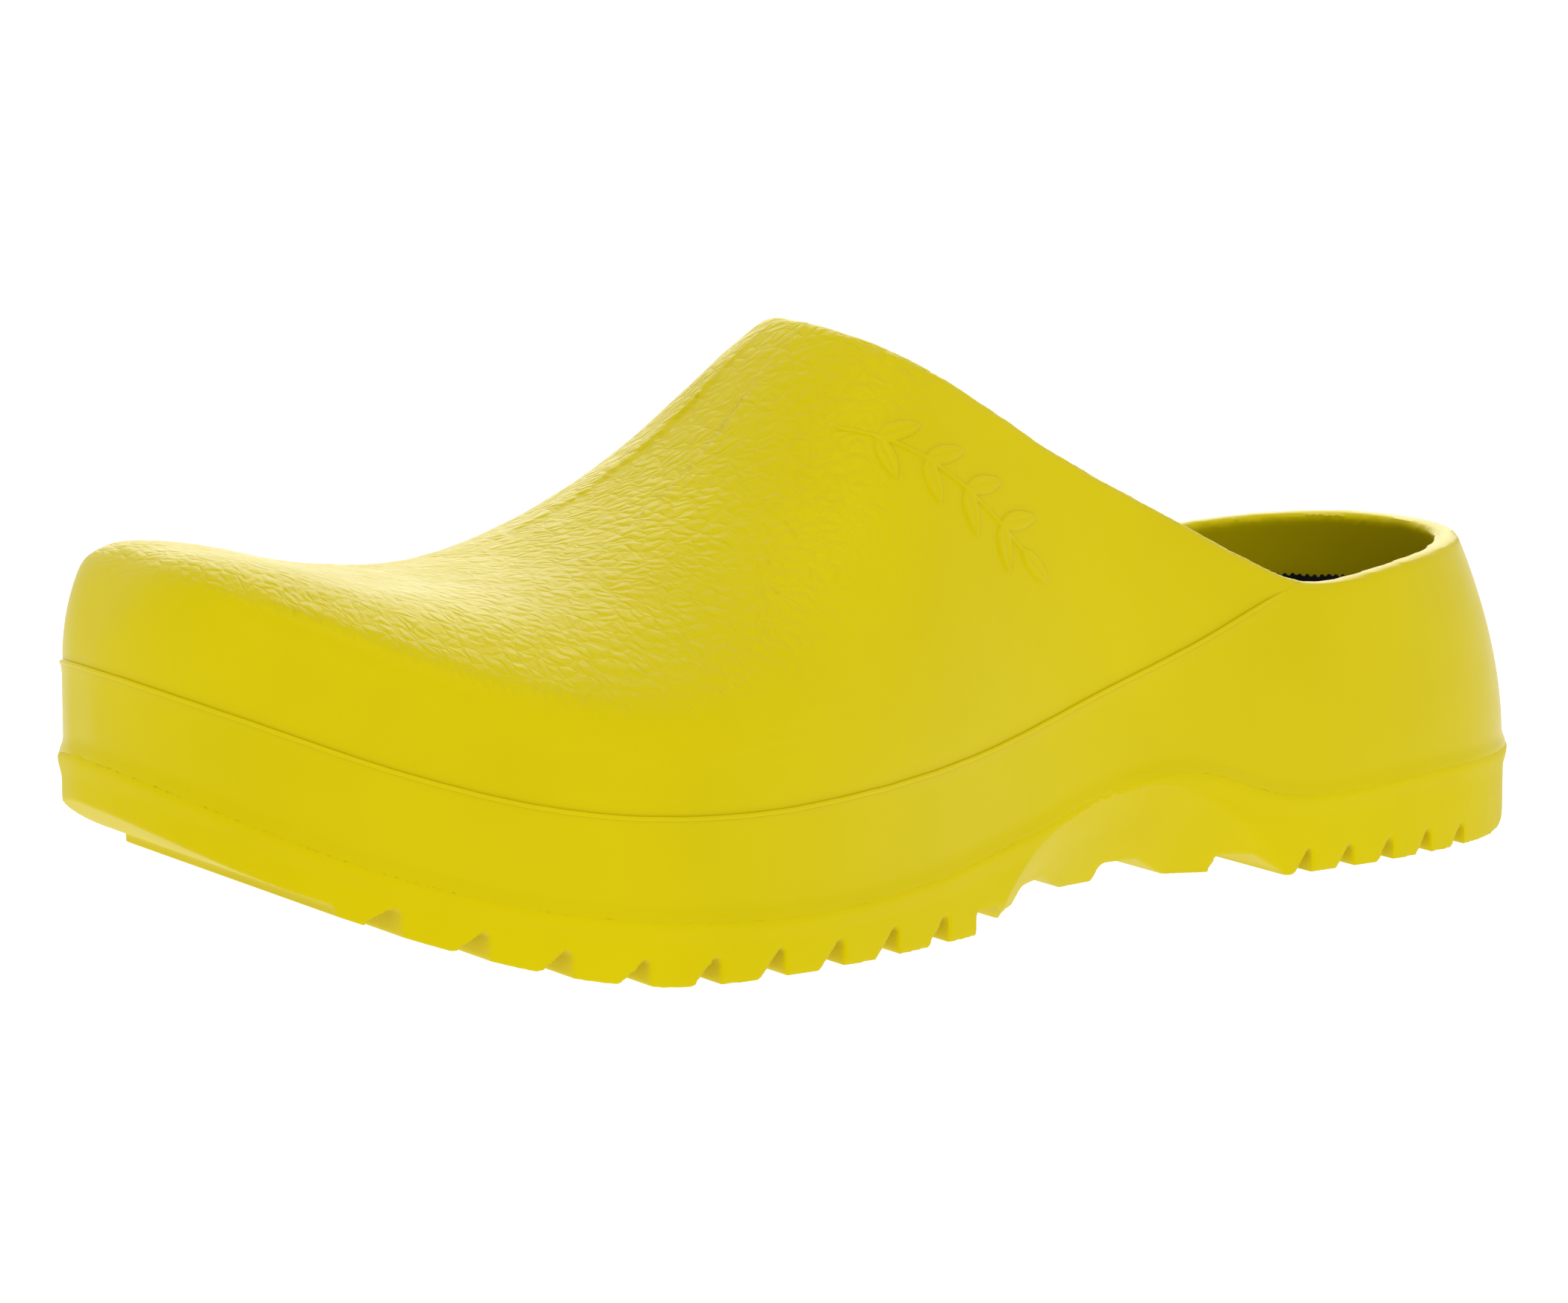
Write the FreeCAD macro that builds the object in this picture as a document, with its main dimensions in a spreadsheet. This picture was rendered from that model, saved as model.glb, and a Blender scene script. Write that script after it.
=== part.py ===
import FreeCAD, Part
import math
import os

Vector = FreeCAD.Vector

# A closed-heel garden clog for the left foot.
# Frame: +Z up from the floor, toe towards -Y, outer (lateral) side towards +X,
# origin on the floor under the middle of the clog. Millimetres throughout.

doc = FreeCAD.newDocument("garden_clog")

# ---------------------------------------------------------------- driving sizes
sheet = doc.addObject("Spreadsheet::Sheet", "sizes")
SIZES = [
    # overall sizes
    ("clog_length", 272.0, "toe to heel, outside"),
    ("ball_width", 100.2, "widest place across the ball"),
    ("throat_height", 97.0, "floor to the top of the throat"),
    # moulded shell
    ("wall", 3.8, "thickness of the moulded wall"),
    ("sole_lip", 0.3, "how far the outsole stands out past the wall"),
    ("form_room", 220.0, "width and height that every cutter covers"),
    # outsole
    ("toe_spring", 25.3, "tread height above the floor at the toe tip"),
    ("tread_slot_start", -104.7, "place of the first forefoot slot"),
    ("tread_slot_pitch", 11.75, "from one forefoot slot to the next"),
    ("tread_slot_width", 4.7, "forefoot slot along the sole"),
    ("tread_slot_depth", 4.6, "forefoot slot, upwards"),
    ("heel_slot_start", 72.5, "place of the first heel slot"),
    ("heel_slot_pitch", 9.2, "from one heel slot to the next"),
    ("heel_slot_width", 3.6, "heel slot along the sole"),
    ("heel_slot_depth", 4.2, "heel slot, upwards"),
    ("channel_width", 3.5, "long channels between the rows of lugs"),
    ("channel_depth", 3.0, "long channels, upwards"),
    ("channel_place", 15.0, "centre of each long channel from the middle"),
    ("toe_recess", 1.6, "step up from the first lug to the smooth toe"),
    ("waist_lift", 0.3, "waist ribs above the floor"),
    ("waist_slot_depth", 3.6, "slots between the waist ribs, upwards"),
    ("scoop_radius", 48.0, "radius of the hollow at each side of the waist"),
    ("scoop_lean", 37.0, "lean of the hollow from upright, degrees"),
    ("scoop_middle", 37.0, "middle of the hollow along the clog"),
    ("waist_rib", 21.0, "half width of the waist rib at the floor"),
    ("waist_margin", 7.05, "end of the slots to the hollow of the waist, at the forefoot"),
    ("waist_heel_margin", 5.52, "end of the waist hollow to the slots, at the heel"),
    # footbed
    ("footbed_gap", 1.5, "footbed edge to the inside of the wall"),
    ("heel_room", 2.5, "further gap behind the heel, for lifting it out"),
    ("footbed_rest", 0.3, "footbed underside to the moulded floor"),
    ("jute", 1.0, "each jute layer"),
    ("lining", 1.2, "microfibre lining"),
]
for row, (alias, value, meaning) in enumerate(SIZES, start=1):
    sheet.set("A%d" % row, meaning)
    sheet.set("B%d" % row, "%g" % value)
    sheet.setAlias("B%d" % row, alias)
doc.recompute()


def size(alias):
    return float(sheet.get(alias))


# Shape tables are drawn for one clog and graded to the sizes in the sheet.
DRAWN_LENGTH = 272.0
DRAWN_WIDTH = 100.2
DRAWN_HEIGHT = 97.0
DRAWN_SPRING = 25.3
grade_length = size("clog_length") / DRAWN_LENGTH
grade_width = size("ball_width") / DRAWN_WIDTH
grade_height = size("throat_height") / DRAWN_HEIGHT
grade_spring = size("toe_spring") / DRAWN_SPRING

# Outline of the wall seen from above, (across, along), round from the toe tip.
OUTLINE = [
    (-13, -135.7), (16, -123.6), (35, -99), (47.5, -69), (50, -46), (45, -12),
    (37.5, 18), (34.5, 56), (33.5, 96), (24, 123), (-1, 135.7), (-26, 123),
    (-35.5, 96), (-33.5, 64), (-29, 32), (-34, -2), (-46, -36), (-50, -69),
    (-47.3, -99), (-36.5, -123.5),
]
# Curves of the side view, (along, height).
CROWN = [(-136, 67.4), (-116, 66.2), (-95, 61.2), (-75, 58.7), (-50, 64), (-28, 77.8),
         (-10, 95.2), (-4, 99), (25, 107), (60, 109), (136, 108)]
ARCH_FOOT = [(-136, 40), (-110, 30), (-70, 24), (-20, 24), (20, 20), (60, 16),
             (90, 14), (136, 14)]
BEAD_LINE = [(-136, 49), (-122, 43), (-104, 35.5), (-77, 28.3), (-50, 26.5),
             (-21, 27.7), (4, 30.4), (29, 36.1), (51, 42.2), (63, 46.6)]
SOLE_LINE = [(-136, 35), (-117, 24.9), (-91, 15.5), (-62, 10.7), (-43, 9.7),
             (-21, 10.6), (4, 13.8), (23, 18.2), (38, 21), (52, 19.4),
             (63, 15.3), (75, 13.6), (92, 14.4), (136, 14.4)]
TOE_LINE = [(-136, 25.6), (-127.4, 20.1), (-113, 13.4)]
TREAD_LINE = [(-113, 13.4), (-104.3, 10), (-92.3, 5.9), (-80, 2.6), (-62, 0)]
HEEL_LINE = [(117, 0), (127, 1.3), (136, 6)]
RIM_LINE = [(-6, 95.0), (4, 88.9), (20, 77.3), (45, 63.0), (63, 53.4)]
HEEL_RIM = [(90, 49.8), (110, 51.5), (136, 53)]
NOTCH = (72, 49.7)

# How square the arch is (2 is an ellipse) and how far its peak leans inwards.
ARCH_POWER = [(-136, 3.6), (-110, 3.6), (-90, 3.2), (-60, 2.6), (-30, 2.2),
              (0, 2.0), (136, 2.0)]
PEAK_LEAN = [(-136, 0), (-100, -3), (-50, -8), (-6, -8), (40, -3), (136, 0)]
TOE_ROUNDING = (14.0, 2.3)
HEEL_ROUNDING = (66.0, 1.55)

# Upper face of the footbed, (along, height): middle, outer edge, inner edge.
BED_MIDDLE = [(-140, 40), (-118, 33), (-92, 25.5), (-60, 20.5), (-30, 20.5),
              (10, 25), (45, 28), (85, 27), (112, 28), (122, 31), (136, 38)]
BED_OUTER = [(-140, 41), (-92, 27), (-40, 23.5), (10, 29), (45, 33),
             (75, 37), (136, 38)]
BED_INNER = [(-140, 41), (-92, 27), (-40, 24), (10, 34), (40, 39),
             (75, 39), (136, 38)]
BED_CUP_POWER = 2.4

BED_STATIONS = [-140, -122, -105, -85, -62, -38, -12, 15, 42, 70, 95, 112, 124, 136]
BED_POINTS = 13
BED_OVERRUN = 1.25
BED_LEAST_REACH = 24.0

# How finely the form is drawn, and how the heel is drawn forward to shorten it.
FORM_STATIONS = 26
ARCH_POINTS = 17
OUTLINE_POINTS = 720
HEEL_STRETCH = 76.0
TIP_LAND = 0.25

# Cutters run on past both ends of the clog, rising as they go.
OVERRUN = 20.0
RIM_OVERRUN = (12.0, 5.0)
BEAD_RISE = 8.0
SOLE_RISE = 11.0
TOE_OVERRUN = (12.0, 9.0)
HEEL_OVERRUN = (8.0, 8.0)
BELOW_FLOOR = 10.0

# Tread: how many slots, how far their toe side slopes, and the slots of the waist as
# (start, length), both shares of the way from the forefoot slots to the heel slots.
FOREFOOT_SLOTS = 9
HEEL_SLOTS = 5
SLOT_RAMP = 0.82
SLOT_UNDERCUT = 3.0
WAIST_STEP = (6.0, 9.0)
WAIST_SLOTS = [(0.243, 0.212), (0.561, 0.191), (0.852, 0.149)]
CHANNEL_ENDS = (-110.0, 112.0)
CHANNEL_LAND = 4.0


# ---------------------------------------------------------------- curve helpers
def graded(table):
    return [(along * grade_length, height * grade_height) for along, height in table]


def smooth(table, at):
    """Value of a table at a place, along a smooth curve through its points."""
    places = [place for place, value in table]
    values = [value for place, value in table]
    if at <= places[0]:
        return values[0]
    if at >= places[-1]:
        return values[-1]
    k = 0
    while at > places[k + 1]:
        k += 1

    def slope(i):
        if i == 0 or i == len(places) - 1:
            return 0.0
        before = (values[i] - values[i - 1]) / (places[i] - places[i - 1])
        after = (values[i + 1] - values[i]) / (places[i + 1] - places[i])
        span = places[i + 1] - places[i - 1]
        return (before * (places[i + 1] - places[i]) + after * (places[i] - places[i - 1])) / span

    step = places[k + 1] - places[k]
    u = (at - places[k]) / step
    return (
        values[k] * (1 + 2 * u) * (1 - u) ** 2
        + slope(k) * step * u * (1 - u) ** 2
        + values[k + 1] * u * u * (3 - 2 * u)
        + slope(k + 1) * step * u * u * (u - 1)
    )


def through(points):
    """B-spline curve through points of the side view, lying in the YZ plane."""
    curve = Part.BSplineCurve()
    curve.interpolate([Vector(0, y, z) for y, z in points])
    return curve


def outline_curve(grow):
    """Closed outline seen from above, grown outwards by a distance."""
    base = Part.BSplineCurve()
    base.interpolate(
        Points=[Vector(x * grade_width, y * grade_length, 0) for x, y in OUTLINE],
        PeriodicFlag=True,
    )
    grown = []
    for x, y in OUTLINE:
        place = Vector(x * grade_width, y * grade_length, 0)
        tangent = base.tangent(base.parameter(place))[0]
        grown.append(place + Vector(tangent.y, -tangent.x, 0) * grow)
    curve = Part.BSplineCurve()
    curve.interpolate(Points=grown, PeriodicFlag=True)
    return curve


def outline_sides(grow):
    """The outline as two lists of (along, across), outer side and inner side."""
    curve = outline_curve(grow)
    first = curve.FirstParameter
    span = curve.LastParameter - first
    points = [curve.value(first + span * k / OUTLINE_POINTS) for k in range(OUTLINE_POINTS)]
    toe = min(range(OUTLINE_POINTS), key=lambda k: points[k].y)
    heel = max(range(OUTLINE_POINTS), key=lambda k: points[k].y)
    outer = [points[(toe + k) % OUTLINE_POINTS] for k in range((heel - toe) % OUTLINE_POINTS + 1)]
    inner = [points[(toe - k) % OUTLINE_POINTS] for k in range((toe - heel) % OUTLINE_POINTS + 1)]
    return [[(p.y, p.x) for p in side] for side in (outer, inner)]


def across_at(side, y):
    for (y0, x0), (y1, x1) in zip(side, side[1:]):
        if y0 <= y <= y1:
            return x0 + (x1 - x0) * (y - y0) / max(y1 - y0, 1e-9)
    return side[-1][1]


def rounding(distance, radius, power):
    """Share of the full height at a distance in from a rounded end."""
    share = min(max(distance / radius, 0.0), 1.0)
    return (1 - (1 - share) ** power) ** (1 / power)


# ---------------------------------------------------------------- clog form
def crown_height(y, inset, toe_end, heel_end):
    table = graded(CROWN)
    foot = smooth(graded(ARCH_FOOT), y)
    rise = smooth(table, y) - foot
    slope = smooth(table, y + 1) - smooth(table, y - 1)
    rise -= inset * math.sqrt(1 + (slope / 2) ** 2)
    rise *= rounding(y - toe_end, TOE_ROUNDING[0] * grade_height, TOE_ROUNDING[1])
    rise *= rounding(heel_end - y, HEEL_ROUNDING[0] * grade_height, HEEL_ROUNDING[1])
    return foot + rise


def form_section(y, inset, sides):
    """Closed section across the clog: arch above, straight walls to the floor."""
    toe_end = sides[0][0][0]
    heel_end = sides[0][-1][0]
    outer = across_at(sides[0], y)
    inner = across_at(sides[1], y)
    foot = smooth(graded(ARCH_FOOT), y)
    crown = crown_height(y, inset, toe_end, heel_end)
    power = smooth(ARCH_POWER, y / grade_length)
    lean = smooth(PEAK_LEAN, y / grade_length) * grade_width
    points = []
    for k in range(ARCH_POINTS):
        turn = math.pi * k / (ARCH_POINTS - 1)
        across = math.copysign(abs(math.cos(turn)) ** (2 / power), math.cos(turn))
        rise = math.sin(turn) ** (2 / power) if 0 < k < ARCH_POINTS - 1 else 0.0
        x = (outer + inner) / 2 + (outer - inner) / 2 * across + lean * rise ** 2
        points.append(Vector(x, y, foot + (crown - foot) * rise))
    arch = Part.BSplineCurve()
    arch.interpolate(Points=points)
    corners = [points[-1], Vector(inner, y, 0), Vector(outer, y, 0), points[0]]
    edges = [arch.toShape()]
    for start, end in zip(corners, corners[1:]):
        edges.append(Part.makeLine(start, end))
    return Part.Wire(edges)


def shortened(side, room):
    """One side of an outline, drawn forward from the heel by some room."""
    heel_end = side[-1][0]
    start = heel_end - HEEL_STRETCH * grade_length
    return [(y - room * max(y - start, 0.0) / (heel_end - start), x) for y, x in side]


def clog_form(name, inset, room=0.0):
    """Solid of the whole clog, its surface moved inwards by the inset."""
    sides = [shortened(side, room) for side in outline_sides(-inset)]
    toe_end = sides[0][0][0] + TIP_LAND
    heel_end = sides[0][-1][0] - TIP_LAND
    sections = []
    for k in range(FORM_STATIONS):
        share = 0.5 - 0.5 * math.cos(math.pi * k / (FORM_STATIONS - 1))
        sections.append(form_section(toe_end + (heel_end - toe_end) * share, inset, sides))
    form = doc.addObject("Part::Feature", name)
    form.Shape = Part.makeLoft(sections, True)
    return form


# ---------------------------------------------------------------- feature helpers
def side_view_cutter(name, curve_points, upwards=True):
    """Slab over (or under) a curve of the side view, right across the clog."""
    curve = through(curve_points).toShape()
    start = curve_points[0]
    end = curve_points[-1]
    level = size("form_room") if upwards else -size("form_room")
    corners = [Vector(0, *end), Vector(0, end[0], level), Vector(0, start[0], level), Vector(0, *start)]
    edges = [curve] + [Part.makeLine(a, b) for a, b in zip(corners, corners[1:])]
    profile = doc.addObject("Part::Feature", name + "_profile")
    profile.Shape = Part.Face(Part.Wire(edges))
    return extruded(name, profile)


def extruded(name, profile):
    slab = doc.addObject("Part::Extrusion", name)
    slab.Base = profile
    slab.DirMode = "Custom"
    slab.Dir = Vector(1, 0, 0)
    slab.setExpression("LengthFwd", "sizes.form_room")
    slab.Symmetric = True
    slab.Solid = True
    return slab


def cut(name, base, tool):
    feature = doc.addObject("Part::Cut", name)
    feature.Base = base
    feature.Tool = tool
    return feature


def common(name, base, tool):
    feature = doc.addObject("Part::MultiCommon", name)
    feature.Shapes = [base, tool]
    return feature


# ---------------------------------------------------------------- cutters
notch = (NOTCH[0] * grade_length, NOTCH[1] * grade_height)
rim_front = graded(RIM_LINE)
rim_curve = rim_front + [notch] + graded(HEEL_RIM)
rim_start = (rim_front[0][0] - RIM_OVERRUN[0], rim_front[0][1] + RIM_OVERRUN[1])
rim_end = (rim_curve[-1][0] + OVERRUN, rim_curve[-1][1])
above_rim = side_view_cutter("above_rim", [rim_start] + rim_curve + [rim_end])

bead_curve = graded(BEAD_LINE) + [notch]
bead_curve = [(bead_curve[0][0] - OVERRUN, bead_curve[0][1] + BEAD_RISE)] + bead_curve
above_bead = side_view_cutter("above_bead", bead_curve)

sole_curve = graded(SOLE_LINE)
sole_curve = [(sole_curve[0][0] - OVERRUN, sole_curve[0][1] + SOLE_RISE)] + sole_curve
sole_curve.append((sole_curve[-1][0] + OVERRUN, sole_curve[-1][1]))
above_sole = side_view_cutter("above_sole", sole_curve)

# ---------------------------------------------------------------- moulded shell
outer_form = clog_form("outer_form", 0.0)
cavity_form = clog_form("cavity_form", size("wall"))
hollow = cut("hollow", outer_form, cavity_form)
open_hollow = cut("open_hollow", hollow, above_rim)
shell = common("shell", open_hollow, above_sole)

# Grained vamp, above the raised bead that runs round the clog.
vamp_upper = common("vamp_upper", shell, above_bead)

# Smooth side wall below the bead, and the closed heel counter with its rim.
side_wall = cut("side_wall", shell, above_bead)


# ---------------------------------------------------------------- outsole
outsole_body = doc.addObject("PartDesign::Body", "outsole")


def plane_of(body, role):
    return [item for item in body.Origin.OriginFeatures if item.Role == role][0]


def body_sketch(name, role, geometry):
    sketch = outsole_body.newObject("Sketcher::SketchObject", name)
    sketch.AttachmentSupport = (plane_of(outsole_body, role), [""])
    sketch.MapMode = "FlatFace"
    sketch.addGeometry(geometry, False)
    return sketch


def side_pocket(name, geometry):
    """Pocket right across the sole from a sketch of the side view."""
    pocket = outsole_body.newObject("PartDesign::Pocket", name)
    pocket.Profile = body_sketch(name + "_sketch", "YZ_Plane", geometry)
    pocket.Type = "Length"
    pocket.Midplane = True
    pocket.setExpression("Length", "sizes.form_room")
    return pocket


def flat_curve(points):
    curve = Part.BSplineCurve()
    curve.interpolate([Vector(y, z, 0) for y, z in points])
    return curve


def flat_lines(points):
    return [Part.LineSegment(Vector(*a, 0), Vector(*b, 0)) for a, b in zip(points, points[1:])]


sole_outline = body_sketch("sole_outline", "XY_Plane", [outline_curve(size("sole_lip"))])
sole_block = outsole_body.newObject("PartDesign::Pad", "sole_block")
sole_block.Profile = sole_outline
sole_block.setExpression("Length", "sizes.form_room / 2")
doc.recompute()

# Everything over the sole line goes, and the toe is sprung up off the floor.
roof = size("form_room")
over = [sole_curve[-1], (sole_curve[-1][0], roof), (sole_curve[0][0], roof), sole_curve[0]]
side_pocket("sole_top", [flat_curve(sole_curve)] + flat_lines(over))

tread_curve = [(y * grade_length, z * grade_spring) for y, z in TREAD_LINE]
recess = size("toe_recess")
toe_curve = [(y * grade_length, z * grade_spring + recess) for y, z in TOE_LINE]
toe_end = (toe_curve[0][0] - TOE_OVERRUN[0], toe_curve[0][1] + TOE_OVERRUN[1] * grade_spring)
toe_curve = [toe_end] + toe_curve
under = [tread_curve[-1], (tread_curve[-1][0], -BELOW_FLOOR), (toe_end[0], -BELOW_FLOOR), toe_end]
toe_step = flat_lines([toe_curve[-1], tread_curve[0]])
side_pocket("toe_lift", [flat_curve(toe_curve), flat_curve(tread_curve)] + toe_step + flat_lines(under))

# The back edge of the heel is bevelled up off the floor.
heel_curve = [(y * grade_length, z) for y, z in HEEL_LINE]
heel_end = (heel_curve[-1][0] + HEEL_OVERRUN[0], heel_curve[-1][1] + HEEL_OVERRUN[1])
heel_curve.append(heel_end)
behind = [heel_end, (heel_end[0], -BELOW_FLOOR), (heel_curve[0][0], -BELOW_FLOOR), heel_curve[0]]
side_pocket("heel_bevel", [flat_curve(heel_curve)] + flat_lines(behind))


def tread_height(y):
    if y >= tread_curve[-1][0]:
        return 0.0
    return smooth(tread_curve, y)


def slot(y, width, depth):
    """Slot across the tread: upright on the heel side, sloping on the toe side."""
    front = y - width
    top = tread_height(y) + depth
    floor = min(tread_height(front), tread_height(y)) - SLOT_UNDERCUT
    fall = tread_height(front)
    ramp_top = front + width * SLOT_RAMP
    return [(front, floor), (front, fall), (ramp_top, top), (y, top), (y, floor), (front, floor)]


slots = []
for k in range(FOREFOOT_SLOTS):
    y = size("tread_slot_start") + k * size("tread_slot_pitch")
    slots += flat_lines(slot(y, size("tread_slot_width"), size("tread_slot_depth")))
for k in range(HEEL_SLOTS):
    y = size("heel_slot_start") + k * size("heel_slot_pitch")
    slots += flat_lines(slot(y, size("heel_slot_width"), size("heel_slot_depth")))
side_pocket("tread_slots", slots)

# The waist stands a little off the floor, on three broad ribs.
last_slot = size("tread_slot_start") + (FOREFOOT_SLOTS - 1) * size("tread_slot_pitch")
waist_front = last_slot + size("waist_margin")
waist_back = size("heel_slot_start") - size("waist_heel_margin")
waist_length = waist_back - waist_front
lift = size("waist_lift")
ceiling = lift + size("waist_slot_depth")
waist = [(waist_front, -BELOW_FLOOR), (waist_front, ceiling)]
waist += [(waist_front + WAIST_STEP[0], ceiling), (waist_front + WAIST_STEP[1], lift)]
for start, length in WAIST_SLOTS:
    front = waist_front + start * waist_length
    back = front + length * waist_length
    waist += [(front, lift), (front, ceiling), ((front + back) / 2, ceiling), (back, lift)]
waist += [(waist_back, lift), (waist_back, -BELOW_FLOOR), (waist_front, -BELOW_FLOOR)]
side_pocket("waist_ribs", flat_lines(waist))

# Two long channels part the lugs into three rows and fade out up the toe.
channels = []
for side in (-1, 1):
    middle = side * size("channel_place")
    near = middle - size("channel_width") / 2
    far = middle + size("channel_width") / 2
    toe_run = (CHANNEL_ENDS[0] * grade_length, waist_front - CHANNEL_LAND)
    heel_run = (waist_back + CHANNEL_LAND, CHANNEL_ENDS[1] * grade_length)
    for start, end in (toe_run, heel_run):
        channels += flat_lines([(near, start), (far, start), (far, end), (near, end), (near, start)])
channel_pocket = outsole_body.newObject("PartDesign::Pocket", "long_channels")
channel_pocket.Profile = body_sketch("long_channels_sketch", "XY_Plane", channels)
channel_pocket.Type = "Length"
channel_pocket.Reversed = True
channel_pocket.setExpression("Length", "sizes.channel_depth")
doc.recompute()

# A leaning round hollow on each side of the waist, under the arch of the foot.
for name, side in (("outer_scoop", 1), ("inner_scoop", -1)):
    scoop = outsole_body.newObject("PartDesign::SubtractiveCylinder", name)
    scoop.setExpression("Radius", "sizes.scoop_radius")
    scoop.setExpression("Height", "sizes.form_room")
    lean = math.radians(size("scoop_lean"))
    axis = Vector(side * math.sin(lean), 0, math.cos(lean))
    centre = side * (size("waist_rib") + size("scoop_radius") / math.cos(lean))
    foot = Vector(centre, size("scoop_middle"), 0) - axis * size("form_room") / 2
    scoop.Placement = FreeCAD.Placement(foot, FreeCAD.Rotation(Vector(0, 0, 1), axis))
    doc.recompute()


# ---------------------------------------------------------------- footbed
def bed_section(y, sides):
    """Section of everything over the upper face of the footbed."""
    outer = across_at(sides[0], y)
    inner = across_at(sides[1], y)
    middle = (outer + inner) / 2
    reach = max((outer - inner) / 2, BED_LEAST_REACH * grade_width)
    at = y / grade_length
    low = smooth(BED_MIDDLE, at)
    points = []
    for k in range(BED_POINTS):
        across = (2 * k / (BED_POINTS - 1) - 1) * BED_OVERRUN
        edge = smooth(BED_OUTER if across > 0 else BED_INNER, at)
        height = low + (edge - low) * abs(across) ** BED_CUP_POWER
        points.append(Vector(middle + reach * across, y, height * grade_height))
    curve = Part.BSplineCurve()
    curve.interpolate(Points=points)
    top = size("form_room")
    corners = [points[-1], Vector(points[-1].x, y, top), Vector(points[0].x, y, top), points[0]]
    edges = [curve.toShape()] + [Part.makeLine(a, b) for a, b in zip(corners, corners[1:])]
    return Part.Wire(edges)


def over_bed(name, drop):
    """Everything over the footbed's upper face, sunk by a drop in the sheet."""
    solid = doc.addObject("Part::Feature", name)
    solid.Shape = bed_loft
    solid.setExpression("Placement.Base.z", drop)
    return solid


def over_floor(name, raise_by):
    """Everything over the moulded floor, raised by a height in the sheet."""
    slab = side_view_cutter(name, sole_curve)
    slab.setExpression("Placement.Base.z", raise_by)
    return slab


bed_sides = outline_sides(-size("wall") - size("footbed_gap"))
bed_loft = Part.makeLoft([bed_section(y * grade_length, bed_sides) for y in BED_STATIONS], True)

bed_form = clog_form("bed_form", size("wall") + size("footbed_gap"), size("heel_room"))
bed_block = common("bed_block", bed_form, over_floor("over_floor", "sizes.footbed_rest"))
bed = cut("bed", bed_block, over_bed("over_bed", "0"))
over_lining = over_bed("over_lining", "-sizes.lining")
over_jute = over_bed("over_jute", "-sizes.lining - sizes.jute")
over_bottom = over_floor("over_bottom", "sizes.footbed_rest + sizes.jute")

footbed_lining = common("footbed_lining", bed, over_lining)
bed_below_lining = cut("bed_below_lining", bed, over_lining)
footbed_top_jute = common("footbed_top_jute", bed_below_lining, over_jute)
bed_below_jute = cut("bed_below_jute", bed_below_lining, over_jute)
footbed_core = common("footbed_core", bed_below_jute, over_bottom)
footbed_bottom_jute = cut("footbed_bottom_jute", bed_below_jute, over_bottom)

doc.recompute()

# ---------------------------------------------------------------- checks and files
PIECES = [
    (vamp_upper, "vamp_upper"),
    (side_wall, "side_wall"),
    (outsole_body, "outsole"),
    (footbed_core, "footbed_core"),
    (footbed_top_jute, "footbed_top_jute"),
    (footbed_bottom_jute, "footbed_bottom_jute"),
    (footbed_lining, "footbed_lining"),
]
for item in doc.Objects:
    if "Invalid" in item.State or "Error" in item.State:
        raise RuntimeError("feature failed: %s %s" % (item.Name, item.State))
os.makedirs("parts", exist_ok=True)
for piece, label in PIECES:
    piece.Label = label
    shape = piece.Shape
    if shape.isNull() or not shape.isValid() or not shape.Solids:
        raise RuntimeError("bad solid: " + label)
    box = shape.BoundBox
    print(
        "%-20s solids %d volume %.0f x %.1f..%.1f y %.1f..%.1f z %.1f..%.1f"
        % (label, len(shape.Solids), shape.Volume, box.XMin, box.XMax, box.YMin, box.YMax, box.ZMin, box.ZMax)
    )
for piece, label in PIECES:
    piece.Shape.exportStep("parts/%s.step" % label)
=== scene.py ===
import bisect
import math
import bmesh
import bpy
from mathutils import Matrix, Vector, noise
from mathutils.bvhtree import BVHTree


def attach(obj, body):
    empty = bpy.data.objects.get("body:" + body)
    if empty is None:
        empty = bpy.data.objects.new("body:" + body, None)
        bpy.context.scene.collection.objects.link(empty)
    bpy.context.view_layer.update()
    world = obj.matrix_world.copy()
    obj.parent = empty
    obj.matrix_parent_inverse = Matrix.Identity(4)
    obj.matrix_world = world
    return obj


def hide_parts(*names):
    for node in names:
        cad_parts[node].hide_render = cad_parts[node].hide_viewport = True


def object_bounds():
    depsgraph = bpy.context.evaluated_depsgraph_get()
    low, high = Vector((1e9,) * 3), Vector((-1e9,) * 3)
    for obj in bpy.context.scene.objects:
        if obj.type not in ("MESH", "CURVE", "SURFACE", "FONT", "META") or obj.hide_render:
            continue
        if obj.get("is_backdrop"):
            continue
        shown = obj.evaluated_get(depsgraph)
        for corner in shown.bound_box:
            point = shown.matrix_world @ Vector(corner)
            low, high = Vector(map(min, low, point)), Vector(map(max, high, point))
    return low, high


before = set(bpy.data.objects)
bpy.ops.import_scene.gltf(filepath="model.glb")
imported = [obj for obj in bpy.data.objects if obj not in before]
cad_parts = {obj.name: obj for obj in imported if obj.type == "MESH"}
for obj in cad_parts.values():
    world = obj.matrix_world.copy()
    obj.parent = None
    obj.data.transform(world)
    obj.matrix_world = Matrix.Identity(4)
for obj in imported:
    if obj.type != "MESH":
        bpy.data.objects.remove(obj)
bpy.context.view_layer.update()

MM = 0.001


# --- Moulded blank ------------------------------------------------------------------------------
# The whole clog but the footbed is one foamed polyurethane moulding. It is made here as one even
# skin with rounded rims, and then parted at the two moulded lines that run round it.

FINE_GRID = 0.45 * MM
GRID = 0.84 * MM
MERGE = 0.002 * MM
# Points nearer a cut than this are taken as lying on it.
SNAP = 0.15 * MM
# The wall's foot is this far under the sole line outside, and this far over it inside.
WALL_FOOT = 0.4 * MM
INNER_RISE = 1.0 * MM
# The heel and toe are round about points this far behind and before the middle.
END_CENTRE = 0.085
# Faces that meet at more than this stay a crisp edge.
CRISP = math.radians(48)


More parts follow.
